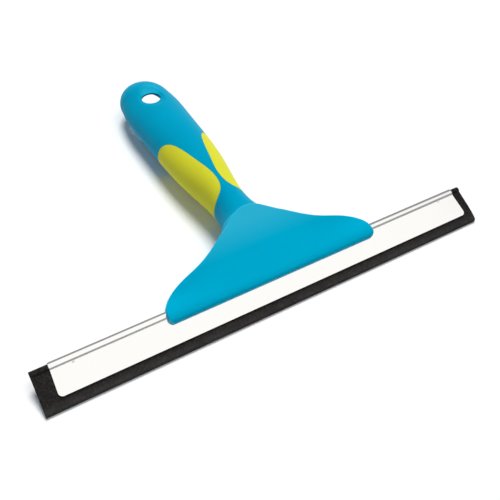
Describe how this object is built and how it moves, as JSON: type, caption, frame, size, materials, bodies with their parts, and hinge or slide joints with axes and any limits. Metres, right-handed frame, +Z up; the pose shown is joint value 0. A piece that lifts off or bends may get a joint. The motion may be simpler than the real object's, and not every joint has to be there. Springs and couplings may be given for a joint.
{
  "type": "window squeegee",
  "caption": "Hand squeegee: soft-grip handle with a hang hole, triangular plastic head, folded metal channel and a rubber blade that slides out of it.",
  "frame": {"origin": "on the table under the middle of the object's bounding box", "axes": "+X along the rubber blade, +Y towards the tip of the handle, +Z up from the table it lies on, front face up"},
  "size_m": [0.28, 0.224, 0.0343],
  "materials": {
    "blade_rubber": "matte",
    "channel_metal": "satin",
    "head_plastic": "fine mould texture",
    "screw_steel": "plated",
    "core_plastic": "matte",
    "grip_skin": "soft satin",
    "grip_pad": "soft satin"
  },
  "bodies": {
    "tool": {"channel": "channel_metal", "head_front_shell": "head_plastic", "head_back_shell": "head_plastic", "head_screws": "screw_steel", "handle_core": "core_plastic", "handle_skin": "grip_skin", "grip_inlay_left": "grip_pad", "grip_inlay_right": "grip_pad"},
    "blade": {"rubber_blade": "blade_rubber"}
  },
  "joints": [
    {"name": "blade_slide", "type": "slide", "parent": "tool", "child": "blade", "axis": [1, 0, 0], "range_m": [-0.26, 0.26]}
  ]
}
